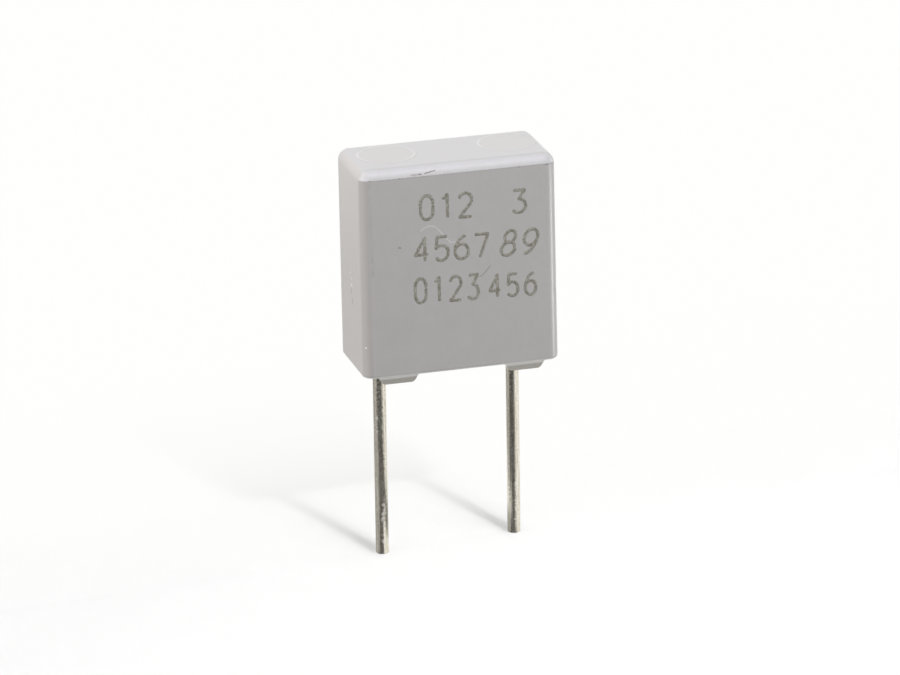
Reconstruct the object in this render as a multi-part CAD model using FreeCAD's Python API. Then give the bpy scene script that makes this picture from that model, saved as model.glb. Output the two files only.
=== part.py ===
import FreeCAD, Part
import math
import os

# Box film capacitor for a printed circuit board, all sizes in millimetres.
#
# A flattened roll of metallised film has a layer of sprayed metal on each end. A wire lead is
# welded into each layer, the assembly is put into a moulded box, and the box is filled with
# resin from its open side, which is the underside of the finished part.
#
# The origin lies midway between the leads on the seating plane, where the feet meet the board.
# X runs along the row of leads, Y through the box with its front face at -Y, and Z upwards.

Vector = FreeCAD.Vector
ORIGIN = Vector(0, 0, 0)
ALONG_X = Vector(1, 0, 0)
ALONG_Y = Vector(0, 1, 0)
ALONG_Z = Vector(0, 0, 1)

# Box: outside sizes at its open rim. Its length follows from the leads that it encloses.
box_depth = 3.5
box_height = 7.76
box_shift = 0.17  # from the middle between the leads to the middle of the box
side_wall = 0.45
end_gap = 0.46  # resin between each lead and the end wall, with the box in the middle
top_wall = 0.5
draft_deg = 0.15  # lets the box leave its mould
side_edge_radius = 0.4
top_edge_radius = 0.39
rim_edge_radius = 0.12
inside_edge_radius = 0.2

# Feet: two under each long wall, bevelled towards the outside
foot_height = 0.3
foot_length = 1.45  # where it meets the rim
foot_end_slope = 0.15  # how much each end leans in, over the height
foot_end_gap = 0.57  # from the end of the box to the foot
foot_setback = 0.08  # from the wall's outer face to the foot, at the rim
foot_bevel = 0.1  # how much the outer face leans in, over the height
foot_corner_radius = 0.17
foot_root = 0.1  # how far inside the wall's inner face the foot's root stays

# Witness marks of the mould's two ejector pins, on the top: a low round ridge each
mark_radius = 1.06
mark_spacing = 4.48
mark_shift_x = 0.08  # from the middle of the top
mark_shift_y = 0.2
mark_ridge_width = 0.08
mark_ridge_height = 0.012

# Leads: tinned wire, welded flat at the inner end
lead_pitch = 5.0
wire_diameter = 0.48
left_lead_length = 7.02  # below the seating plane
right_lead_length = 6.81
left_lean_deg = 0.45  # towards -X, below the bend
right_lean_deg = 0.35
lead_bend_radius = 12.0
lead_bend_height = 0.08  # the bend starts this far above the seating plane
tip_edge_radius = 0.05
weld_thickness = 0.3
weld_length = 3.4
weld_neck = 0.4  # from the round wire to the flat
weld_sink = 0.12  # how deep the flat lies in the sprayed metal

# Film roll with its sprayed ends
roll_side_gap = 0.22  # resin between the roll and the long walls
roll_top_gap = 0.35  # resin above the roll
roll_cover = 0.65  # resin below the roll
spray_thickness = 0.32
spray_inset = 0.04  # the sprayed area stops this far inside the roll's outline

# Resin: its surface lies inside the rim and creeps up at the walls and the leads
resin_recess = 0.3
resin_creep = 0.16
resin_land = 0.05  # width of the resin's edge where it stops climbing
collar_creep = 0.18  # how far the resin spreads around each lead

# Levels and places that follow from the sizes above
box_length = lead_pitch + wire_diameter + 2 * (end_gap + side_wall)
foot_x = box_length / 2 - foot_end_gap - foot_length / 2
rim_z = foot_height
top_z = rim_z + box_height
ceiling_z = top_z - top_wall
resin_z = rim_z + resin_recess
roll_low_z = resin_z + roll_cover
roll_high_z = ceiling_z - roll_top_gap
cavity_length = box_length - 2 * side_wall
cavity_depth = box_depth - 2 * side_wall
roll_depth = cavity_depth - 2 * roll_side_gap
wire_radius = wire_diameter / 2
spray_face_x = lead_pitch / 2 - weld_thickness / 2 + weld_sink
roll_end_x = spray_face_x - spray_thickness
weld_low_z = roll_low_z + weld_neck


def sloped_block(length, depth, low_z, high_z, draft):
    """A box with its middle at box_shift, whose four walls lean inwards as they rise."""
    rings = []
    for level in (low_z, high_z):
        inset = (level - low_z) * math.tan(math.radians(draft))
        x = length / 2 - inset
        y = depth / 2 - inset
        corners = [(-x, -y), (x, -y), (x, y), (-x, y)]
        rings.append([Vector(box_shift + px, py, level) for px, py in corners])
    low, high = rings
    outlines = [low[::-1], high]
    for i in range(4):
        j = (i + 1) % 4
        outlines.append([low[i], low[j], high[j], high[i]])
    faces = [Part.Face(Part.makePolygon(outline + outline[:1])) for outline in outlines]
    return Part.Solid(Part.Shell(faces))


def round_sides(solid, radius):
    """Round the four edges that run from the lower to the upper face."""
    middle = (solid.BoundBox.ZMin + solid.BoundBox.ZMax) / 2
    edges = [e for e in solid.Edges if e.BoundBox.ZMin < middle < e.BoundBox.ZMax]
    return solid.makeFillet(radius, edges)


def round_rim(solid, level, radius):
    """Round every edge that lies on one level."""
    near = 1e-4
    boxes = [(e, e.BoundBox) for e in solid.Edges]
    edges = [e for e, box in boxes if abs(box.ZMin - level) < near and abs(box.ZMax - level) < near]
    return solid.makeFillet(radius, edges)


def prism(points, sweep):
    """A closed outline, swept straight."""
    return Part.Face(Part.makePolygon(points + points[:1])).extrude(sweep)


def racetrack(x, depth, low_z, high_z):
    """The outline of a flattened roll, on the plane at x: two flats and two half circles."""
    radius = depth / 2
    low = low_z + radius
    high = high_z - radius
    flat_front = Part.LineSegment(Vector(x, -radius, low), Vector(x, -radius, high))
    over = Part.Arc(Vector(x, -radius, high), Vector(x, 0, high_z), Vector(x, radius, high))
    flat_back = Part.LineSegment(Vector(x, radius, high), Vector(x, radius, low))
    under = Part.Arc(Vector(x, radius, low), Vector(x, 0, low_z), Vector(x, -radius, low))
    edges = [part.toShape() for part in (flat_front, over, flat_back, under)]
    return Part.Face(Part.Wire(edges))


def cavity():
    """The inside of the box, down to its rim. The resin fills the same space."""
    block = sloped_block(cavity_length, cavity_depth, rim_z, ceiling_z, draft_deg)
    block = round_sides(block, inside_edge_radius)
    return round_rim(block, ceiling_z, inside_edge_radius)


def foot(centre_x, side):
    """One foot under a long wall. side is -1 for the front wall and 1 for the back one.

    Its root runs up inside the wall, past the rounded rim, so that foot and wall are one.
    """
    root_z = rim_z + rim_edge_radius
    rise = rim_edge_radius / foot_height
    half = foot_length / 2
    tip = half - foot_end_slope
    root = half + foot_end_slope * rise
    ends = [
        Vector(centre_x - root, 0, root_z),
        Vector(centre_x - tip, 0, 0),
        Vector(centre_x + tip, 0, 0),
        Vector(centre_x + root, 0, root_z),
    ]
    outer = side * (box_depth / 2 - foot_setback)
    inner = side * (box_depth / 2 - side_wall)
    section = [
        Vector(centre_x - root, outer + side * foot_bevel * rise, root_z),
        Vector(centre_x - root, outer - side * foot_bevel, 0),
        Vector(centre_x - root, inner, 0),
        Vector(centre_x - root, inner, rim_z),
        Vector(centre_x - root, inner + side * foot_root, root_z),
    ]
    along = prism(ends, ALONG_Y * (side * box_depth))
    across = prism(section, ALONG_X * (2 * root))
    block = along.common(across)
    corners = [e for e in block.Edges if e.BoundBox.ZMax < rim_z / 2 and e.BoundBox.XLength < rim_z / 2]
    return block.makeFillet(foot_corner_radius, corners)


def ejector_mark(centre_x, shell):
    """The low round ridge that an ejector pin's edge leaves on the top of the shell."""
    half_width = mark_ridge_width / 2
    curve = (half_width**2 + mark_ridge_height**2) / (2 * mark_ridge_height)
    middle = Vector(centre_x, mark_shift_y, top_z + mark_ridge_height - curve)
    ring = Part.makeTorus(mark_radius - half_width, curve, middle, ALONG_Z)
    skin = shell.translated(ALONG_Z * mark_ridge_height)
    return ring.common(skin)


def case():
    """The moulded box: drafted walls, rounded edges, feet and the marks of the mould."""
    shell = sloped_block(box_length, box_depth, rim_z, top_z, draft_deg)
    shell = round_sides(shell, side_edge_radius)
    shell = round_rim(shell, top_z, top_edge_radius)
    shell = round_rim(shell, rim_z, rim_edge_radius)
    marks = [ejector_mark(box_shift + mark_shift_x + hand * mark_spacing / 2, shell) for hand in (-1, 1)]
    shell = shell.cut(cavity()).fuse(marks)
    for hand in (-1, 1):
        for side in (-1, 1):
            shell = shell.fuse(foot(box_shift + hand * foot_x, side))
    return shell


def lead(hand, length, lean_deg):
    """One lead, from its cut tip up to the flat that is welded to the sprayed metal."""
    x = hand * lead_pitch / 2
    lean = math.radians(lean_deg)
    bend_top = Vector(x, 0, lead_bend_height)
    bend_centre = bend_top + ALONG_X * -lead_bend_radius
    round_face = Part.Face(Part.Wire(Part.makeCircle(wire_radius, bend_top, ALONG_Z)))
    bend = round_face.revolve(bend_centre, ALONG_Y, lean_deg)
    down = Vector(-math.sin(lean), 0, -math.cos(lean))
    bend_low = bend_centre + Vector(math.cos(lean), 0, -math.sin(lean)) * lead_bend_radius
    free_length = (length + bend_low.z) / math.cos(lean)
    free = wire_with_cut_tip(bend_low, down, free_length)
    neck_z = weld_low_z - weld_neck
    buried = Part.makeCylinder(wire_radius, neck_z - lead_bend_height, bend_top)
    flat_low = weld_outline(x, weld_low_z)
    neck = Part.makeLoft([round_outline(x, neck_z), flat_low], True, True)
    flat = Part.Face(flat_low).extrude(ALONG_Z * weld_length)
    return free.fuse([bend, buried, neck, flat])


def wire_with_cut_tip(start, direction, length):
    """A straight run of wire whose far end is cut square, with its edge slightly rounded."""
    r = wire_radius
    tip = tip_edge_radius
    corner = tip * (1 - math.sqrt(0.5))
    points = [
        Vector(0, 0, 0),
        Vector(r, 0, 0),
        Vector(r, 0, length - tip),
        Vector(r - corner, 0, length - corner),
        Vector(r - tip, 0, length),
        Vector(0, 0, length),
    ]
    edges = [
        Part.makeLine(points[0], points[1]),
        Part.makeLine(points[1], points[2]),
        Part.Arc(points[2], points[3], points[4]).toShape(),
        Part.makeLine(points[4], points[5]),
        Part.makeLine(points[5], points[0]),
    ]
    run = Part.Face(Part.Wire(edges)).revolve(ORIGIN, ALONG_Z, 360)
    run.Placement = FreeCAD.Placement(start, FreeCAD.Rotation(ALONG_Z, direction))
    return run


def round_outline(x, level):
    """The wire's round section as four arcs, so that it matches the flat's four edges."""
    corner = wire_radius * math.sqrt(0.5)
    compass = [(-corner, -corner), (corner, -corner), (corner, corner), (-corner, corner)]
    middles = [(0, -wire_radius), (wire_radius, 0), (0, wire_radius), (-wire_radius, 0)]
    edges = []
    for i in range(4):
        a, b, c = compass[i], middles[i], compass[(i + 1) % 4]
        arc = Part.Arc(*[Vector(x + px, py, level) for px, py in (a, b, c)])
        edges.append(arc.toShape())
    return Part.Wire(edges)


def weld_outline(x, level):
    """The flattened wire's section: its area is the round wire's, and its edges are round."""
    half = weld_thickness / 2
    straight = (math.pi * wire_radius**2 - math.pi * half**2) / weld_thickness
    y = straight / 2
    corners = [Vector(x + px, py, level) for px, py in ((-half, -y), (half, -y), (half, y), (-half, y))]
    edges = [
        Part.Arc(corners[0], Vector(x, -y - half, level), corners[1]).toShape(),
        Part.makeLine(corners[1], corners[2]),
        Part.Arc(corners[2], Vector(x, y + half, level), corners[3]).toShape(),
        Part.makeLine(corners[3], corners[0]),
    ]
    return Part.Wire(edges)


def film_winding():
    """The roll of film, pressed flat, with its axis along X."""
    outline = racetrack(-roll_end_x, roll_depth, roll_low_z, roll_high_z)
    return outline.extrude(ALONG_X * (2 * roll_end_x))


def end_spray(hand, own_lead):
    """The sprayed metal on one end of the roll, with the groove that the lead is welded in."""
    depth = roll_depth - 2 * spray_inset
    outline = racetrack(hand * roll_end_x, depth, roll_low_z + spray_inset, roll_high_z - spray_inset)
    return outline.extrude(ALONG_X * (hand * spray_thickness)).cut(own_lead)


def resin_collar(hand):
    """The resin that climbs down a lead from the resin's surface, hollow in outline."""
    x = hand * lead_pitch / 2
    wide = wire_radius + resin_land + collar_creep
    narrow = wire_radius + resin_land
    low_z = resin_z - collar_creep
    inner = collar_creep / 4
    points = [
        Vector(x, 0, resin_z + inner),
        Vector(x + wide, 0, resin_z + inner),
        Vector(x + wide, 0, resin_z),
        Vector(x + narrow + inner, 0, low_z + 3 * inner),
        Vector(x + narrow, 0, low_z),
        Vector(x, 0, low_z),
    ]
    edges = [
        Part.makeLine(points[0], points[1]),
        Part.makeLine(points[1], points[2]),
        Part.Arc(points[2], points[3], points[4]).toShape(),
        Part.makeLine(points[4], points[5]),
        Part.makeLine(points[5], points[0]),
    ]
    return Part.Face(Part.Wire(edges)).revolve(points[0], ALONG_Z, 360)


def resin_fill(inner_pieces):
    """The resin around everything inside the box, with its hollow surface underneath."""
    edge_z = resin_z - resin_creep
    trim = Part.makeBox(2 * box_length, 2 * box_depth, edge_z, Vector(-box_length, -box_depth, 0))
    pool_length = cavity_length - 2 * resin_land
    pool_depth = cavity_depth - 2 * resin_land
    pool = sloped_block(pool_length, pool_depth, 0, resin_z, 0)
    pool = round_sides(pool, inside_edge_radius)
    pool = round_rim(pool, resin_z, resin_creep)
    for hand in (-1, 1):
        pool = pool.cut(resin_collar(hand))
    fill = cavity().cut(trim).cut(pool)
    for piece in inner_pieces:
        fill = fill.cut(piece)
    return fill


def build():
    """Every piece by name."""
    lead_left = lead(-1, left_lead_length, left_lean_deg)
    lead_right = lead(1, right_lead_length, right_lean_deg)
    winding = film_winding()
    spray_left = end_spray(-1, lead_left)
    spray_right = end_spray(1, lead_right)
    inner_pieces = [winding, spray_left, spray_right, lead_left, lead_right]
    return {
        "case": case(),
        "resin_fill": resin_fill(inner_pieces),
        "film_winding": winding,
        "end_spray_left": spray_left,
        "end_spray_right": spray_right,
        "lead_left": lead_left,
        "lead_right": lead_right,
    }


os.makedirs("parts", exist_ok=True)
for name, shape in build().items():
    solids = shape.Solids
    piece = solids[0] if len(solids) == 1 else shape
    piece.exportStep(f"parts/{name}.step")
    print(f"{name}: {len(solids)} solid, valid {piece.isValid()}, {piece.Volume:.3f} mm3")
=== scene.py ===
# %% [markdown]
# This lesson dresses a box film capacitor: a moulded plastic box, 7.3 mm long, on two tinned wires.
# Its shape comes from a CAD model that Blender loads and leaves as it is. Blender adds the looks:
# the finish of each material, the printed digits, the marks of handling, and a small photo studio.

# %% Load the CAD model
import math

import bpy
from mathutils import Matrix, Vector


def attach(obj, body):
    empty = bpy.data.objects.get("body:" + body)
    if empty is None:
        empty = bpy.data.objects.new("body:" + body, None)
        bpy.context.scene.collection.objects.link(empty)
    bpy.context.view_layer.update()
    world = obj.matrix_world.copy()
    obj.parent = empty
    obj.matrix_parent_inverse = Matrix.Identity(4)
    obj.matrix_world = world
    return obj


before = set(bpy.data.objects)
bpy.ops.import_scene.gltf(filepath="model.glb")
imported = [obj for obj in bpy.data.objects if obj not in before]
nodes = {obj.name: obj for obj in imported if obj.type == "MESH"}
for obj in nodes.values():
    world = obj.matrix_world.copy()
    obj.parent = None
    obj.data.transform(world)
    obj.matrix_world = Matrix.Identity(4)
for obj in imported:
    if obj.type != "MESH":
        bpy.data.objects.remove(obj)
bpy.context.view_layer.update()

MM = 0.001
print("CAD nodes:", ", ".join(sorted(nodes)))

# %% [markdown]
# The photograph was taken with a long lens, a little from the left and from above, and the camera
# leaned slightly. These angles, the distance and the lens came from fitting a simple box to the
# edges in the photograph. A camera object looks along its own -Z, so its Z axis points back at the
# photographer, and the lean turns its X and Y axes about it.

# %% Camera
photo_width_px = 900
focal_length_px = 5416.4
camera_distance = 196.216 * MM
camera_azimuth = math.radians(-15.0754)
camera_elevation = math.radians(18.7795)
camera_lean = math.radians(-1.2841)
camera_aim = Vector((0.1832, 0, 0.9669)) * MM


def direction(azimuth, elevation):
    """A unit vector towards something seen from the object. Azimuth 0 is -Y, 90 degrees is +X."""
    flat = math.cos(elevation)
    return Vector((math.sin(azimuth) * flat, -math.cos(azimuth) * flat, math.sin(elevation)))


back = direction(camera_azimuth, camera_elevation)
level_right = (-back).cross(Vector((0, 0, 1))).normalized()
level_up = level_right.cross(-back)
camera_x = level_right * math.cos(camera_lean) + level_up * math.sin(camera_lean)
camera_y = level_up * math.cos(camera_lean) - level_right * math.sin(camera_lean)

lens = bpy.data.cameras.new("photo_lens")
lens.sensor_width = 36
lens.lens = focal_length_px / photo_width_px * lens.sensor_width
lens.clip_start = 10 * MM
camera = bpy.data.objects.new("photo_camera", lens)
bpy.context.scene.collection.objects.link(camera)
turn = Matrix((camera_x, camera_y, back)).transposed().to_4x4()
camera.matrix_world = Matrix.Translation(camera_aim + back * camera_distance) @ turn
bpy.context.scene.camera = camera
print(f"camera: {lens.lens:.1f} mm lens at {camera_distance / MM:.0f} mm")

# %% [markdown]
# Shader maths reads best as ordinary arithmetic. The class Value wraps a node's output socket, and
# each of its operators adds the Math node that does the sum. The class Graph fills a node tree: one
# method adds any node, sets its settings first, and then fills its sockets. The class Finish is one
# material: it keeps the colour so far, and each coat of paint is laid over it.


# %% Values
class Value:
    """A number that changes over a surface."""

    def __init__(self, graph, socket):
        self.graph = graph
        self.socket = socket

    def math(self, operation, *others):
        """A Math node on this value and the others."""
        return self.graph.node("ShaderNodeMath", {"operation": operation}, [self, *others])

    def __add__(self, other):
        return self.math("ADD", other)

    def __radd__(self, other):
        return self.math("ADD", other)

    def __mul__(self, other):
        return self.math("MULTIPLY", other)

    def __rmul__(self, other):
        return self.math("MULTIPLY", other)

    def __sub__(self, other):
        return self.math("SUBTRACT", other)

    def __rsub__(self, other):
        return self.graph.node("ShaderNodeMath", {"operation": "SUBTRACT"}, [other, self])

    def step(self, low, high):
        """0 below low, 1 above high, and a smooth rise between. It falls where low is above high."""
        sockets = {"Value": self, "From Min": low, "From Max": high}
        return self.graph.node("ShaderNodeMapRange", {"interpolation_type": "SMOOTHSTEP"}, sockets)


# %% Graphs
class Graph:
    """A node tree, filled by one method."""

    def __init__(self, tree):
        self.tree = tree

    def fill(self, socket, value):
        """Link a value to a socket, or set the number or colour that the socket holds."""
        if isinstance(value, Value):
            self.tree.links.new(value.socket, socket)
        else:
            socket.default_value = value

    def node(self, kind, settings=(), sockets=(), output=0):
        """Add one node, set it up, fill its sockets, and return one of its outputs."""
        added = self.tree.nodes.new(kind)
        for name, value in dict(settings).items():
            setattr(added, name, value)
        pairs = sockets.items() if isinstance(sockets, dict) else enumerate(sockets)
        for name, value in pairs:
            self.fill(added.inputs[name], value)
        return Value(self, added.outputs[output]) if len(added.outputs) else added

    def direct_rays(self):
        """Masks for rays from the camera, off a mirror and through glass, and the mask for any of them."""
        kinds = ["Is Camera Ray", "Is Glossy Ray", "Is Transmission Ray"]
        masks = [self.node("ShaderNodeLightPath", output=kind) for kind in kinds]
        return *masks, masks[0].math("MAXIMUM", masks[1]).math("MAXIMUM", masks[2])


print("a graph adds any node from its type, its settings and its sockets")


# %% Finishes
class Finish(Graph):
    """One material, with the Object coordinates of its surface in millimetres."""

    def __init__(self, name):
        self.material = bpy.data.materials.new(name)
        self.material.use_nodes = True
        super().__init__(self.material.node_tree)
        self.tree.nodes.clear()
        coordinates = self.node("ShaderNodeTexCoord", output="Object")
        self.place = self.vector("SCALE", {"Vector": coordinates, "Scale": 1 / MM})
        self.x, self.y, self.z = [
            self.node("ShaderNodeSeparateXYZ", sockets=[self.place], output=axis) for axis in "XYZ"
        ]
        self.colour = None

    def vector(self, operation, sockets, output="Vector"):
        """A Vector Math node."""
        return self.node("ShaderNodeVectorMath", {"operation": operation}, sockets, output)

    def blend(self, first, second, share):
        """A colour between two colours, of which a plain one is given as red, green and blue."""
        mix = self.tree.nodes.new("ShaderNodeMix")
        mix.data_type = "RGBA"
        named = {socket.identifier: socket for socket in mix.inputs}
        for name, value in {"A_Color": first, "B_Color": second, "Factor_Float": share}.items():
            self.fill(named[name], (*value, 1) if isinstance(value, tuple) else value)
        return Value(self, [o for o in mix.outputs if o.identifier == "Result_Color"][0])

    def paint(self, coat, share):
        """Lay one more colour over the colour so far."""
        self.colour = self.blend(self.colour, coat, share)

    def noise(self, size, stretch=(1, 1, 1), detail=2.0, seed=0.0):
        """Smooth noise from 0 to 1, whose blotches are about size millimetres across."""
        sockets = {
            "Vector": self.place,
            "Location": (seed * 7.3, seed * 3.1, seed * 5.7),
            "Scale": [1 / (size * side) for side in stretch],
        }
        placed = self.node("ShaderNodeMapping", sockets=sockets)
        return self.node("ShaderNodeTexNoise", sockets={"Vector": placed, "Scale": 1.0, "Detail": detail})

    def near(self, start, end, half_width, blur):
        """1 on a thin straight line from start to end, in millimetres, and 0 away from it."""
        start = Vector(start)
        along = Vector(end) - start
        length = along.length
        offset = self.vector("SUBTRACT", [self.place, start])
        progress = self.vector("DOT_PRODUCT", [offset, along / length], "Value")
        progress = progress.math("MAXIMUM", 0.0).math("MINIMUM", length)
        nearest = self.vector("SCALE", {"Vector": along / length, "Scale": progress})
        gap = self.vector("DISTANCE", [offset, nearest], "Value")
        return gap.step(half_width + blur, max(half_width - blur, 0.0))

    def marks(self, paths, half_width, blur):
        """The union of several line marks. Each is a list of points."""
        total = None
        for points in paths:
            for start, end in zip(points, points[1:]):
                one = self.near(start, end, half_width, blur)
                total = total.math("MAXIMUM", one) if total else one
        return total

    def bump(self, height, depth, strength=1.0, below=None):
        """Small relief, with its full depth in millimetres."""
        sockets = {"Height": height, "Distance": depth * MM, "Strength": strength}
        if below:
            sockets["Normal"] = below
        return self.node("ShaderNodeBump", sockets=sockets)

    def surface(self, shader):
        """Use this shader as the material's surface."""
        self.node("ShaderNodeOutputMaterial", sockets={"Surface": shader})
        print(f"{self.material.name}: {len(self.tree.nodes)} nodes")
        return self.material

    def dress(self, roughness, **others):
        """Use a Principled shader with the colour so far as the material's surface."""
        sockets = {"Base Color": self.colour, "Roughness": roughness, **others}
        return self.surface(self.node("ShaderNodeBsdfPrincipled", sockets=sockets))


print("a finish adds noise, line marks, coats of paint and relief")

# %% [markdown]
# The studio has a white floor. The two wires differ a little in length, so a floor that touches
# both of their tips leans by about two degrees. One square face is all that it needs.

# %% Floor
left_tip = Vector((-2.555, 0, -7.02)) * MM
right_tip = Vector((2.458, 0, -6.81)) * MM
floor_size = 1.6
floor_x = (right_tip - left_tip).normalized()
floor_up = floor_x.cross(Vector((0, 1, 0)))
floor_middle = (left_tip + right_tip) / 2
half_across = floor_x * (floor_size / 2)
half_along = Vector((0, floor_size / 2, 0))
corner_signs = [(-1, -1), (1, -1), (1, 1), (-1, 1)]
corners = [floor_middle + half_across * a + half_along * b for a, b in corner_signs]

floor_mesh = bpy.data.meshes.new("studio_floor")
floor_mesh.from_pydata([tuple(corner) for corner in corners], [], [(0, 1, 2, 3)])
floor = bpy.data.objects.new("studio_floor", floor_mesh)
lit_floor = bpy.data.collections.new("lit_by_the_floor_lamp")
bpy.context.scene.collection.children.link(lit_floor)
lit_floor.objects.link(floor)
print("floor leans by", round(math.degrees(floor_up.angle(Vector((0, 0, 1)))), 2), "degrees")

# %% [markdown]
# In the photograph a small lamp throws a clear shadow of the wires, which grows fainter away from
# them, because the paper behind is lit more and more by other light. The floor does the same: the
# camera sees a mix of paper lit by the shadow lamp and plain white, and the lamp's share falls with
# the distance from the wires. Light spreads a few millimetres inside paper, which blurs the shadow,
# so the lit paper scatters it below its surface. Light that the floor sends on to the object stays
# at the plain level of a pale table.

# %% Lit paper
floor_white = 0.8
floor_bounce = 0.39
shadow_reach = 4.6  # mm behind the wires over which the shadow fades to about a third
paper_depth = 3.0

paper = Finish("studio_paper")
seen, mirrored, through, direct = paper.direct_rays()
fade = (paper.y * (-1 / shadow_reach)).math("EXPONENT").math("MINIMUM", 1.0)
fade = fade * (1 - paper.y.step(5.5, 8.5) * 0.4)
paper_white = floor_bounce + direct * (floor_white - floor_bounce)
lit_paper = paper.node(
    "ShaderNodeBsdfPrincipled",
    {"subsurface_method": "BURLEY"},
    {
        "Base Color": paper.node("ShaderNodeCombineColor", sockets=[paper_white] * 3),
        "Roughness": 1.0,
        "Specular IOR Level": 0.0,
        "Subsurface Weight": 1.0,
        "Subsurface Radius": (1.0, 1.0, 1.0),
        "Subsurface Scale": paper_depth * MM,
    },
)
print("the shadow fades over", shadow_reach, "mm")

# %% [markdown]
# A round wire mirrors the whole studio, squeezed into strips along it. In the photograph each wire
# has a dark strip just left of its middle, where it mirrors the dark room behind the camera, a grey
# strip at its left, and bright floor at its right. Dark cards round the wires would do the same, but
# they would stand in other views. So the floor itself has darker wedges that start at the wires'
# tips, and only rays that come off a mirror see them. A ray that a straight wire mirrors keeps its
# slope, so the wedge at a bearing of 40 degrees shows where the wire's surface faces 20 degrees.


# %% Tones for mirrors
def bearing(tip):
    """The angle of a place on the floor around one wire, in degrees to the right of the camera."""
    across = paper.x - tip.x / MM
    return across.math("ARCTAN2", paper.y * -1) * (180 / math.pi) - math.degrees(camera_azimuth)


def away(centre):
    """The distance of a place on the floor from a point, in millimetres."""
    return paper.vector("DISTANCE", [paper.place, centre / MM], "Value")


around_left = bearing(left_tip)
around_right = bearing(right_tip)
from_middle = away(Vector((0, 0, -7)) * MM)

black_left = around_left.step(-46, -34) * around_left.step(34, 12)
black_right = around_right.step(-60, -46) * around_right.step(56, 8)
white_left = around_left.step(12, 34) * around_left.step(78, 62) * away(left_tip).step(4.6, 3.2)
black_wedges = black_left.math("MAXIMUM", black_right * (1 - white_left))
grey_left = around_left.step(-168, -150) * around_left.step(-30, -44)
grey_right = around_right.step(-168, -150) * around_right.step(-42, -56) * away(right_tip).step(3.8, 2.6)
grey_wedges = grey_left.math("MAXIMUM", grey_right)

close_by = from_middle.step(60, 36)
blackness = 0.86 + from_middle.step(12, 20) * 0.08
greyness = 0.56
mirror_level = (1 - grey_wedges * greyness * close_by) * (1 - black_wedges * close_by * blackness)
print("two dark wedges and two grey ones lie on the floor for mirror rays")

# %% [markdown]
# The floor's surface puts these together. Where the camera looks at it, it is part lit paper and
# part plain white, and mirrors see the wedges. From below, the camera looks through it.

# %% The floor's surface
white_level = 0.998
paper_tint = (1, 1, 0.985, 1)
strength = seen * white_level + through + mirrored * mirror_level
glow = paper.node("ShaderNodeEmission", sockets={"Color": paper_tint, "Strength": strength})
plain_share = seen * (1 - fade) + mirrored + through
above = paper.node("ShaderNodeMixShader", sockets=[plain_share, lit_paper, glow])
below = paper.node("ShaderNodeBsdfTransparent")
underside = paper.node("ShaderNodeNewGeometry", output="Backfacing")
both_sides = paper.node("ShaderNodeMixShader", sockets=[underside, above, below])
floor_mesh.materials.append(paper.surface(both_sides))

# %% [markdown]
# Soft light comes from broad lamps. A lamp is described by where it stands as seen from the object,
# how bright its face is compared with white paper in plain light, and how large it is. The shadow
# on the floor falls back and slightly left, so the small lamp that makes it stands at the front
# right. Light linking lets that lamp reach only the floor, and the others only the object, as cards
# between them would do in a real studio. The front and sky lamps stand above, the left and side
# lamps light the left wall, and the end and back lamps light the walls that the photograph doesn't
# show. Those at the sides and back stay out of mirrors, because seen at a low angle the satin top
# would mirror them as plain white. A narrow strip close to the right side draws the thin highlight
# down the right edge of the box.

# %% Softboxes
dressed = bpy.data.collections.new("lit_by_the_object_lamps")
bpy.context.scene.collection.children.link(dressed)
box_only = bpy.data.collections.new("lit_by_the_strip")
bpy.context.scene.collection.children.link(box_only)


def softbox(name, azimuth, elevation, face, size=(0.30, 0.30), distance=0.5, aim=camera_aim, lights=dressed):
    """A rectangular lamp that faces the aim, and lights one collection."""
    data = bpy.data.lights.new(name, "AREA")
    data.shape = "RECTANGLE"
    data.size, data.size_y = size
    data.energy = face * math.pi * data.size * data.size_y
    lamp = bpy.data.objects.new(name, data)
    bpy.context.scene.collection.objects.link(lamp)
    towards = direction(math.radians(azimuth), math.radians(elevation))
    facing = towards.to_track_quat("Z", "Y").to_matrix().to_4x4()
    lamp.matrix_world = Matrix.Translation(aim + towards * distance) @ facing
    lamp.visible_camera = False
    lamp.light_linking.receiver_collection = lights
    return lamp


print("a softbox is placed by its azimuth and elevation in degrees")

# %% Lamps
strip_aim = Vector((3.4, -1.5, -2.5)) * MM
shadow_lamp = softbox("shadow_lamp", 15.7, 38.2, 2135.0, size=(0.025, 0.025), lights=lit_floor)
front_lamp = softbox("front_lamp", 14, 52, 3.45)
sky_lamp = softbox("sky_lamp", 20, 80, 0.6)
left_lamp = softbox("left_lamp", -74, 56, 2.85, size=(0.34, 0.34))
side_lamp = softbox("side_lamp", -98, 14, 3.6)
end_lamp = softbox("end_lamp", 100, 6, 4.6)
back_lamp = softbox("back_lamp", 172, 14, 2.8)
edge_strip = softbox("edge_strip", 67.5, 0, 9.0, (0.0072, 0.009), 0.02, strip_aim, box_only)

warm = (1.03, 0.985, 0.97)
front_lamp.data.color = (0.99, 1.0, 1.03)
sky_lamp.data.color = (0.90, 0.98, 1.30)
left_lamp.data.color = warm
side_lamp.data.color = warm
for lamp in [left_lamp, side_lamp, end_lamp, back_lamp]:
    lamp.visible_glossy = False
edge_strip.visible_diffuse = False

# %% [markdown]
# The air around the studio is white to the camera and in mirrors, and only a weak light on the
# object, so that the background is white without washing the box out.

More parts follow.
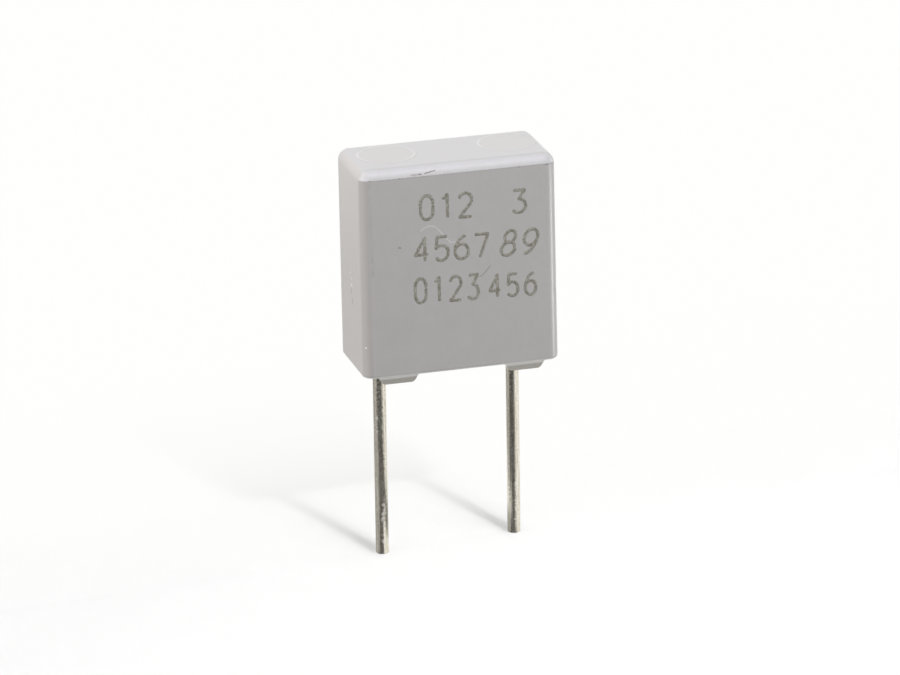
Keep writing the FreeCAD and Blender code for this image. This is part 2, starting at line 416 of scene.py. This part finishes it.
# %% World
world = bpy.data.worlds.new("studio_air")
world.use_nodes = True
world_level = 0.2
air = Graph(world.node_tree)
air.tree.nodes.clear()
*_, air_direct = air.direct_rays()
level = air.node("ShaderNodeMapRange", sockets={"Value": air_direct, "To Min": world_level, "To Max": 1.0})
backdrop = air.node("ShaderNodeBackground", sockets={"Color": (1, 1, 1, 1), "Strength": level})
air.node("ShaderNodeOutputWorld", sockets={"Surface": backdrop})
bpy.context.scene.world = world
bpy.context.scene.view_settings.view_transform = "Standard"
print("the air lights the object at", world_level)

# %% [markdown]
# The box is a light grey thermoplastic with a satin skin. Its colour is never quite even, so three
# noises of different sizes move it between two close greys. The rounding at the left front edge gets painted
# shade.

# %% Plain plastic
plastic = Finish("moulded_plastic")
cloud = plastic.noise(0.9, detail=3.0)
blotch = plastic.noise(0.25, detail=3.0, seed=4.0)
grain = plastic.noise(0.05, detail=2.0, seed=1.0)
tone = (cloud - 0.5) * 0.5 + (blotch - 0.5) * 0.5 + (grain - 0.5) * 0.45
tone = (tone + 0.5).math("MINIMUM", 1.0)
plastic.colour = plastic.blend((0.537, 0.520, 0.506), (0.602, 0.585, 0.571), tone)

# Painted shade on the left front rounding, darker where it turns away from the light.
left_edge_painted_shade = plastic.x.step(-3.08, -3.24) * plastic.x.step(-3.62, -3.50) * plastic.y.step(-1.38, -1.52)
plastic.paint((0.43, 0.415, 0.40), left_edge_painted_shade * (0.53 + blotch * 0.2))
print("plastic noises of 0.9, 0.25 and 0.05 mm")

# %% [markdown]
# The top is tinted a little cooler, as painted light from above. The rounding along the top of the
# front is painted paler, down to a crisp, ragged line with a faint dark line under it: partly wear,
# and partly a painted highlight for the light that the rounding catches. The lower rim of the walls
# gets a painted highlight where it catches light from the floor, and the feet below it are a little
# yellower. Each is a band between two heights, and grain moves the height to make a line ragged.

# %% Painted top light, worn and lit front edge, painted rim light and feet
box_top = 8.06
front_top = 7.72
ragged = plastic.z + (grain - 0.5) * 0.03
front_side = plastic.y.step(-1.35, -1.55)
# Painted light: the top of the box is tinted a little cooler, as the light from above colours it.
plastic.paint((0.57, 0.575, 0.573), plastic.z.step(box_top - 0.16, box_top - 0.02) * 0.5)

# Wear and painted highlight: the rounding is painted paler, and paler still lower down, where it gets less
# light.
wear_and_highlight_tint = plastic.blend((0.665, 0.658, 0.67), (0.76, 0.752, 0.765), plastic.z.step(7.90, 7.77))
wear_and_highlight_top = plastic.z.step(box_top + 0.002, box_top - 0.04)
wear_and_highlight_band = ragged.step(front_top - 0.015, front_top + 0.015) * wear_and_highlight_top * front_side
freckle = blotch * 0.4 + grain * 0.6
plastic.paint(wear_and_highlight_tint, wear_and_highlight_band * (freckle.step(0.25, 0.65) * 0.4 + 0.6))
# A faint dark line just under the pale band.
dark_line_foot = ragged.step(front_top - 0.055, front_top - 0.035)
dark_line_head = ragged.step(front_top + 0.005, front_top - 0.015)
plastic.paint((0.40, 0.385, 0.37), dark_line_foot * dark_line_head * front_side * 0.5)

# Painted highlight on the lower rim of the walls, where it catches light from the floor.
painted_rim_light = plastic.z.step(0.41, 0.33) * plastic.z.step(0.15, 0.28)
plastic.paint((0.98, 0.965, 0.93), painted_rim_light)
plastic.paint((0.585, 0.558, 0.50), plastic.z.step(0.26, 0.14))
print("the worn and lit band ends", round(box_top - front_top, 2), "mm below the top")

# %% [markdown]
# Handling has left marks: dark dashes where the top edge was rubbed against something dark, a pale
# curved scratch and a hairline on the front, smears and chips on the left wall, small nicks under
# the pale band, and specks. Two more are painted light and shade: a painted glint at the right end
# of the left foot, and a painted shade streak where the left rounding meets the front. Each mark is
# a soft line between points, so a list of points is all that a mark needs. The points are millimetres on the
# box.

# %% Where the marks are
rubbed = [
    [(-1.065, -1.706, 7.804), (-0.909, -1.697, 7.828), (-0.821, -1.686, 7.849), (-0.690, -1.677, 7.866)],
    [(-1.275, -1.711, 7.790), (-1.205, -1.711, 7.791)],
]
rubbed_faintly = [
    [(-1.560, -1.711, 7.790), (-1.371, -1.714, 7.786)],
    [(-1.340, -1.712, 7.788), (-1.219, -1.711, 7.790)],
]
scratch = [
    [
        (-1.291, -1.736, 5.683),
        (-1.133, -1.736, 5.790),
        (-0.966, -1.736, 5.847),
        (-0.819, -1.736, 5.831),
        (-0.691, -1.736, 5.750),
        (-0.494, -1.736, 5.524),
        (-0.314, -1.736, 5.292),
        (-0.162, -1.737, 5.141),
        (0.098, -1.737, 5.166),
    ]
]
hairline = [[(0.877, -1.741, 3.758), (0.990, -1.741, 3.817), (1.142, -1.740, 3.974), (1.275, -1.740, 4.129)]]
smears = [
    [(-3.476, -0.100, 3.240), (-3.476, -0.120, 3.110)],
    [(-3.476, -0.230, 2.900), (-3.476, -0.235, 2.760)],
]
chips_and_glint = [
    [(-3.474, 0.020, 3.850), (-3.474, 0.004, 3.820)],
    [(-3.474, -0.139, 3.680), (-3.474, -0.150, 3.640)],
    [(-3.475, -0.050, 3.430), (-3.475, -0.240, 3.390)],
    [(-3.371, -1.617, 1.487), (-3.371, -1.617, 1.480)],
    # a painted glint at the right end of the left foot
    [(-1.560, -1.74, 0.36), (-1.545, -1.74, 0.30)],
]
nicks = [
    [(-3.13, -1.728, 7.72), (-3.07, -1.731, 7.722)],
    [(-2.03, -1.731, 7.705), (-2.01, -1.731, 7.707)],
    [(2.40, -1.731, 7.700), (2.43, -1.731, 7.700)],
    [(3.38, -1.727, 7.690), (3.46, -1.715, 7.690)],
]
specks = [
    [(-2.10, -1.737, 5.150), (-2.03, -1.737, 5.135)],
    [(3.248, -0.389, 8.048), (3.250, -0.389, 8.048)],
    [(-3.474, -0.378, 3.914), (-3.474, -0.376, 3.910)],
]
# painted shade: a darker streak down the front where the left rounding meets it
painted_shade_streak = [[(-3.141, -1.722, 7.631), (-3.131, -1.727, 6.667), (-3.100, -1.736, 5.176), (-3.08, -1.739, 4.2)]]
all_marks = [rubbed, rubbed_faintly, scratch, hairline, smears, chips_and_glint, nicks, specks, painted_shade_streak]
print("line marks on the box:", sum(map(len, all_marks)))

# %% [markdown]
# Most marks are broken up by the grain, as a rub over a satin skin is.

# %% Paint the marks
broken = (grain * 1.6 - 0.1).math("MINIMUM", 1.0)
plastic.paint((0.82, 0.81, 0.79), plastic.marks(scratch, 0.018, 0.016) * (broken * 0.5 + 0.25))
# Pale chips, and a painted glint on the left foot.
plastic.paint((0.92, 0.91, 0.90), plastic.marks(chips_and_glint, 0.030, 0.018))
plastic.paint((0.30, 0.275, 0.235), plastic.marks(hairline, 0.016, 0.016) * 0.8)
plastic.paint((0.33, 0.26, 0.22), plastic.marks(rubbed_faintly, 0.018, 0.016) * broken)
plastic.paint((0.15, 0.115, 0.10), plastic.marks(rubbed, 0.020, 0.016) * (broken * 0.4 + 0.5))
plastic.paint((0.36, 0.335, 0.31), plastic.marks(smears, 0.05, 0.04) * (broken * 0.5 + 0.4))
plastic.paint((0.34, 0.27, 0.19), plastic.marks(specks, 0.024, 0.018))
plastic.paint((0.20, 0.18, 0.16), plastic.marks(nicks, 0.016, 0.016) * 0.8)
# Painted shade along the place where the left rounding meets the front.
plastic.paint((0.50, 0.49, 0.48), plastic.marks(painted_shade_streak, 0.05, 0.05) * blotch.step(0.3, 0.6))
print("plastic so far:", len(plastic.tree.nodes), "nodes")

# %% [markdown]
# Two ejector pins pushed the box out of its mould and left round marks on top. The CAD model has
# their fine raised rings. Here each ring is painted paler, with painted shade outside it on its near
# side, and the disc inside is a little yellower. The right mark fades to the right.

# %% Ejector marks
pin_radius = 1.02
for centre_x, fading in [(-1.99, 0.0), (2.49, 0.75)]:
    pin = Vector((centre_x, 0.2, box_top))
    from_pin = plastic.vector("DISTANCE", [plastic.place, pin], "Value")
    kept = 1 - plastic.x.step(centre_x - 0.3, centre_x + 0.9) * fading
    ring = from_pin.step(pin_radius - 0.065, pin_radius - 0.025)
    ring = ring * from_pin.step(pin_radius + 0.065, pin_radius + 0.025)
    plastic.paint((0.70, 0.69, 0.68), ring * kept * 0.75)
    # Painted shade just outside the ring, on its near side.
    painted_shade_outside = from_pin.step(pin_radius + 0.025, pin_radius + 0.065)
    painted_shade_outside = painted_shade_outside * from_pin.step(pin_radius + 0.14, pin_radius + 0.09) * plastic.y.step(0.3, -0.4)
    plastic.paint((0.50, 0.49, 0.48), painted_shade_outside * kept * 0.5)
    plastic.paint((0.57, 0.565, 0.53), from_pin.step(pin_radius - 0.02, pin_radius - 0.06) * 0.35)
print("ejector marks painted at a radius of", pin_radius, "mm")

# %% [markdown]
# A satin skin is smooth plastic with a very fine texture from the mould. A middling roughness gives
# the broad sheen, and a faint bump breaks up its edge.

# %% Satin skin
satin = 0.32 + (cloud - 0.5) * 0.08
plastic_material = plastic.dress(satin, Normal=plastic.bump(grain, 0.004, 0.12))

# %% [markdown]
# Tinned wire is drawn copper with a thin coat of tin. Drawing leaves fine streaks along it, and tin
# is soft, so tools and trays leave pits and bright scuffs. The scuffs sit near the tips, where the
# wire rubs in its packing. The right wire's front gets a painted dark reflection, along a strip that
# follows the wire's own lean. A full metal shader takes its colour from the tin.

# %% Tinned wire
wire = Finish("tinned_wire")
drawn = wire.noise(0.07, stretch=(1, 1, 14), detail=3.0, seed=2.0)
pit = wire.noise(0.09, detail=3.0, seed=3.0)
tarnish = (drawn * 0.6 + pit * 0.4).step(0.25, 0.75)
wire.colour = wire.blend((0.60, 0.555, 0.45), (0.93, 0.895, 0.81), tarnish)

scuffs = [
    [(-2.534, -0.239, -5.099), (-2.508, -0.237, -5.259)],
    [(-2.559, -0.239, -5.446), (-2.580, -0.237, -5.717)],
    [(-2.479, -0.231, -5.381), (-2.490, -0.231, -5.390)],
    [(-2.567, -0.239, -6.498), (-2.565, -0.239, -6.520)],
    [(2.500, -0.215, -4.85), (2.512, -0.210, -5.10)],
    [(2.515, -0.205, -5.25), (2.500, -0.215, -5.50)],
    [(2.490, -0.222, -5.66), (2.484, -0.225, -5.90)],
    [(2.443, -0.239, -6.248), (2.445, -0.239, -6.260)],
    [(-2.337, -0.168, -0.974), (-2.338, -0.168, -0.980)],
    [(-2.340, -0.167, -1.550), (-2.341, -0.167, -1.556)],
    [(-2.686, -0.166, -1.741), (-2.685, -0.167, -1.747)],
    [(-2.684, -0.173, -2.278), (-2.683, -0.173, -2.284)],
]
scuff = wire.marks(scuffs, 0.05, 0.05) * pit.step(0.35, 0.6)
wire.paint((0.92, 0.90, 0.84), scuff)
print("scuffs on the wires:", len(scuffs))

# %% Painted dark reflection and relief of the wire
lean_per_mm = 0.0061
wire_lean = (wire.z - right_tip.z / MM) * lean_per_mm
faces = (wire.x - right_tip.x / MM - wire_lean).math("ARCTAN2", wire.y * -1) * (180 / math.pi)
# Painted reflection: a dark strip down the front of the right wire, where it would mirror a dark room.
painted_dark_reflection = faces.step(-54, -42) * faces.step(22, -8) * wire.x.step(1.0, 1.5) * wire.z.step(-6.7, -4.5)
wire.paint((0.32, 0.29, 0.23), painted_dark_reflection * (1 - scuff) * 0.38)

dull = 0.22 + (pit - 0.5) * 0.12 + scuff * 0.35
draw_lines = wire.bump(drawn, 0.010, 0.7)
wire_material = wire.dress(dull, Metallic=1.0, Normal=wire.bump(pit, 0.018, 0.55, draw_lines))

# %% [markdown]
# The casting resin shows from below, as a glossy grey pool with slow flow marks, a little dust and a
# few tiny bubbles. Noise cut off high up, with no detail, leaves separate round spots for bubbles.

# %% Casting resin
resin = Finish("potting_resin")
flow = resin.noise(1.1, stretch=(1.6, 1, 1), detail=2.0, seed=8.0)
dust = resin.noise(0.05, detail=2.0, seed=9.0)
bubbles = resin.noise(0.16, detail=0.0, seed=10.0).step(0.74, 0.80)
resin.colour = resin.blend((0.265, 0.265, 0.255), (0.345, 0.345, 0.33), flow.step(0.3, 0.7))
resin.paint((0.47, 0.465, 0.44), dust.step(0.66, 0.74) * 0.5)
resin.paint((0.19, 0.19, 0.18), bubbles * 0.7)
swell = resin.bump(flow, 0.05, 0.6)
resin_shine = 0.16 + dust * 0.08 + bubbles * 0.3
resin_material = resin.dress(resin_shine, Normal=resin.bump(1 - bubbles, 0.02, 0.6, swell))

# %% [markdown]
# The film roll is silvery and finely wrinkled along its turns. The zinc sprayed on its ends is a
# crust of tiny flattened drops, for which a Voronoi texture gives a cell to each drop. Both are
# hidden inside the box, and are finished for whoever takes it apart.

# %% Film roll and sprayed zinc
film = Finish("wound_film")
wrinkle = film.noise(0.12, stretch=(12, 1, 1), detail=2.0, seed=11.0)
haze = film.noise(0.8, detail=2.0, seed=12.0)
film.colour = film.blend((0.54, 0.54, 0.53), (0.70, 0.70, 0.68), wrinkle * 0.6 + haze * 0.4)
film_material = film.dress(0.24 + haze * 0.16, Metallic=0.6, Normal=film.bump(wrinkle, 0.010, 0.5))

zinc = Finish("sprayed_metal")
drop_cells = {"Vector": zinc.place, "Scale": 11.0}
drops = zinc.node("ShaderNodeTexVoronoi", sockets=drop_cells, output="Distance")
crust = drops * 0.7 + zinc.noise(0.05, detail=2.0, seed=13.0) * 0.5
zinc.colour = zinc.blend((0.42, 0.42, 0.41), (0.62, 0.62, 0.60), crust)
spray_material = zinc.dress(0.55 + crust * 0.25, Metallic=0.9, Normal=zinc.bump(crust, 0.03, 0.8))

# %% [markdown]
# The CAD pieces come with a material slot each. Setting the slot's material dresses the piece and
# leaves its mesh alone.

# %% Give each CAD piece its finish
finishes = {
    "case": plastic_material,
    "resin_fill": resin_material,
    "film_winding": film_material,
    "end_spray_left": spray_material,
    "end_spray_right": spray_material,
    "lead_left": wire_material,
    "lead_right": wire_material,
}
for piece_name, material in finishes.items():
    for slot in nodes[piece_name].material_slots:
        slot.material = material
print("dressed:", sorted(finishes))

# %% [markdown]
# Real boxes of this kind are printed with dark ink by a soft stamp. The rows here are plain counting
# digits. Each digit is a few pen strokes in a cell one wide and one high, made of straight lines and
# arcs, as an engraver would plan them.


# %% Strokes of the digits
def arc(middle_x, middle_y, radius_x, radius_y, start, end):
    """Points along an arc, at angles in degrees."""
    count = max(2, round(abs(end - start) / 15))
    angles = [math.radians(start + (end - start) * i / count) for i in range(count + 1)]
    return [(middle_x + radius_x * math.cos(a), middle_y + radius_y * math.sin(a)) for a in angles]


ring_6 = arc(0.50, 0.32, 0.50, 0.32, 180, -200)
spine_6 = arc(1.02, 0.33, 1.02, 0.67, 100, 180)
strokes = {
    "0": [arc(0.5, 0.66, 0.5, 0.34, -10, 180) + arc(0.5, 0.34, 0.5, 0.34, 180, 360) + [(1, 0.5), (1, 0.6)]],
    "1": [[(0.2, 0.8), (0.6, 1.0), (0.6, 0.0)]],
    "2": [arc(0.5, 0.72, 0.5, 0.28, 170, -30) + [(0.0, 0.0), (1.0, 0.0)]],
    "3": [[(0.06, 1.0), (0.92, 1.0), (0.45, 0.6)] + arc(0.46, 0.3, 0.52, 0.3, 85, -150)],
    "4": [[(0.72, 0.0), (0.72, 1.0), (0.0, 0.3), (1.0, 0.3)]],
    "5": [[(0.92, 1.0), (0.16, 1.0), (0.08, 0.52)] + arc(0.48, 0.32, 0.5, 0.32, 125, -150)],
    "6": [spine_6, ring_6],
    "7": [[(0.0, 1.0), (1.0, 1.0), (0.36, 0.0)]],
    "8": [arc(0.5, 0.76, 0.40, 0.24, 0, 375), arc(0.5, 0.27, 0.5, 0.27, 0, 375)],
}
strokes["9"] = [[(1 - x, 1 - y) for x, y in stroke] for stroke in strokes["6"]]
print("digits with strokes:", "".join(sorted(strokes)))

# %% [markdown]
# A row gives its digits, the middle of the first one, the pitch from digit to digit, a digit's
# width, the height of the row's foot, a digit's height and its slant. The rows sink a little to the
# right, because the stamp met the box slightly askew. All strokes go into one curve.

# %% Rows of digits
rows = [
    ("012", -1.036, 0.717, 0.46, 6.06, 0.89, 0.0),
    ("3", 2.385, 0.0, 0.50, 6.08, 0.83, 0.0),
    ("4567", -1.25, 0.735, 0.50, 4.50, 0.88, 0.0),
    ("89", 1.98, 0.79, 0.50, 4.50, 0.92, 0.2),
    ("0123", -1.33, 0.649, 0.40, 2.965, 0.91, 0.0),
    ("456", 1.43, 0.66, 0.40, 2.965, 0.83, 0.0),
]
row_fall = 0.03

pen = bpy.data.curves.new("digit_strokes", "CURVE")
pen.dimensions = "3D"
for text, first_x, pitch, width, base, height, slant in rows:
    for index, digit in enumerate(text):
        middle = first_x + index * pitch
        digit_foot = base - row_fall * middle
        for stroke in strokes[digit]:
            spline = pen.splines.new("POLY")
            spline.points.add(len(stroke) - 1)
            for point, (u, v) in zip(spline.points, stroke):
                point_x = middle + (u - 0.5) * width + slant * (v - 0.5) * height
                point.co = (point_x * MM, 0, (digit_foot + v * height) * MM, 1)
print(len(pen.splines), "strokes")

# %% [markdown]
# Geometry Nodes turn the strokes into ink. The curve is cut into short steps, each step gets its own
# width, and a round profile follows it. The width closes to nothing in a half circle at both ends of
# a stroke and wavers with a noise, as wet ink does.

# %% Ink nodes: tubes along the strokes
stamp = bpy.data.node_groups.new("stamped_ink", "GeometryNodeTree")
inputs = {
    "Strokes": "NodeSocketGeometry",
    "Line Width": "NodeSocketFloat",
    "Waver": "NodeSocketFloat",
    "Thickness": "NodeSocketFloat",
    "Ink": "NodeSocketMaterial",
}
keys = {}
for input_name, kind in inputs.items():
    keys[input_name] = stamp.interface.new_socket(input_name, in_out="INPUT", socket_type=kind).identifier
stamp.interface.new_socket("Mesh", in_out="OUTPUT", socket_type="NodeSocketGeometry")
press = Graph(stamp)


def given(input_name):
    """One of the named inputs."""
    return press.node("NodeGroupInput", output=input_name)


cuts = {"Curve": given("Strokes"), "Length": 0.02 * MM}
steps = press.node("GeometryNodeResampleCurve", {"mode": "LENGTH"}, cuts)
half = given("Line Width") * 0.5
run = press.node("GeometryNodeSplineParameter", output="Length")
whole = press.node("GeometryNodeSplineLength", output="Length")
to_end = run.math("MINIMUM", whole - run)
inset = 1 - to_end.math("DIVIDE", half).math("MINIMUM", 1.0)
rounding = (1 - inset * inset).math("SQRT")
spot = press.node("GeometryNodeInputPosition")
wave = press.node("ShaderNodeTexNoise", sockets={"Vector": spot, "Scale": 1 / (0.09 * MM), "Detail": 2.0})
radius = half * rounding * (1 + (wave - 0.5) * given("Waver"))
profile = press.node("GeometryNodeCurvePrimitiveCircle", sockets={"Resolution": 8, "Radius": 1.0})
along_strokes = {"Curve": steps, "Profile Curve": profile, "Scale": radius, "Fill Caps": True}
tubes = press.node("GeometryNodeCurveToMesh", sockets=along_strokes)
print("inputs of the stamp:", list(keys))

# %% [markdown]
# The tubes are pressed flat onto the front of the box, which leans back by its draft angle from the
# rim upwards. A finer noise makes the ink's outline ragged.

# %% Ink nodes: press them onto the box
draft = math.tan(math.radians(0.15))
half_depth = 1.75 * MM
draft_start = 0.3 * MM
x, y, z = [press.node("ShaderNodeSeparateXYZ", sockets=[spot], output=axis) for axis in "XYZ"]
wall = (z - draft_start) * draft - half_depth
pressed_flat = y.math("DIVIDE", half) * given("Thickness")
ripple = press.node("ShaderNodeTexNoise", sockets={"Vector": spot, "Scale": 1 / (0.05 * MM), "Detail": 1.0})
fringe = (ripple - 0.5) * given("Waver") * 0.03 * MM
moved = press.node("ShaderNodeCombineXYZ", sockets=[x + fringe, wall + pressed_flat, z + fringe])
pressed = press.node("GeometryNodeSetPosition", sockets={"Geometry": tubes, "Position": moved})
real = press.node("GeometryNodeRealizeInstances", sockets=[pressed])
inked = press.node("GeometryNodeSetMaterial", sockets={"Geometry": real, "Material": given("Ink")})
press.node("NodeGroupOutput", sockets=[inked])
print("the stamp has", len(stamp.nodes), "nodes")

# %% [markdown]
# The ink is a thin olive grey film. It covers unevenly, so the plastic shows through it in patches.

# %% Ink
ink = Finish("print_ink")
cover = ink.noise(0.07, detail=3.0, seed=6.0)
wear = ink.noise(0.3, detail=2.0, seed=7.0)
patches = (cover * 0.7 + wear * 0.3).step(0.36, 0.68)
ink.colour = ink.blend((0.225, 0.212, 0.165), (0.46, 0.44, 0.395), patches)
ink_material = ink.dress(0.45)

# %% [markdown]
# The stamp is a modifier on the curve. Once its inputs are set, the evaluated curve is turned into
# one plain mesh, and the curve and its modifier go.

# %% Printed digits
drawn_strokes = bpy.data.objects.new("digit_strokes", pen)
bpy.context.scene.collection.objects.link(drawn_strokes)
stamping = drawn_strokes.modifiers.new("stamp", "NODES")
stamping.node_group = stamp
stamping[keys["Line Width"]] = 0.118 * MM
stamping[keys["Waver"]] = 0.75
stamping[keys["Thickness"]] = 0.006 * MM
stamping[keys["Ink"]] = ink_material
ready = drawn_strokes.evaluated_get(bpy.context.evaluated_depsgraph_get())
digits_mesh = bpy.data.meshes.new_from_object(ready)
digits_mesh.name = "printed_digits"
bpy.data.objects.remove(drawn_strokes)
digits = bpy.data.objects.new("printed_digits", digits_mesh)
bpy.context.scene.collection.objects.link(digits)
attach(digits, "root")
print("ink:", len(digits_mesh.polygons), "faces")

# %% [markdown]
# Light linking works by collections, so each piece joins the collection of the lamps that reach it.

# %% Light the object with its own lamps
for piece in [*nodes.values(), digits]:
    dressed.objects.link(piece)
for piece in [nodes["case"], digits]:
    box_only.objects.link(piece)
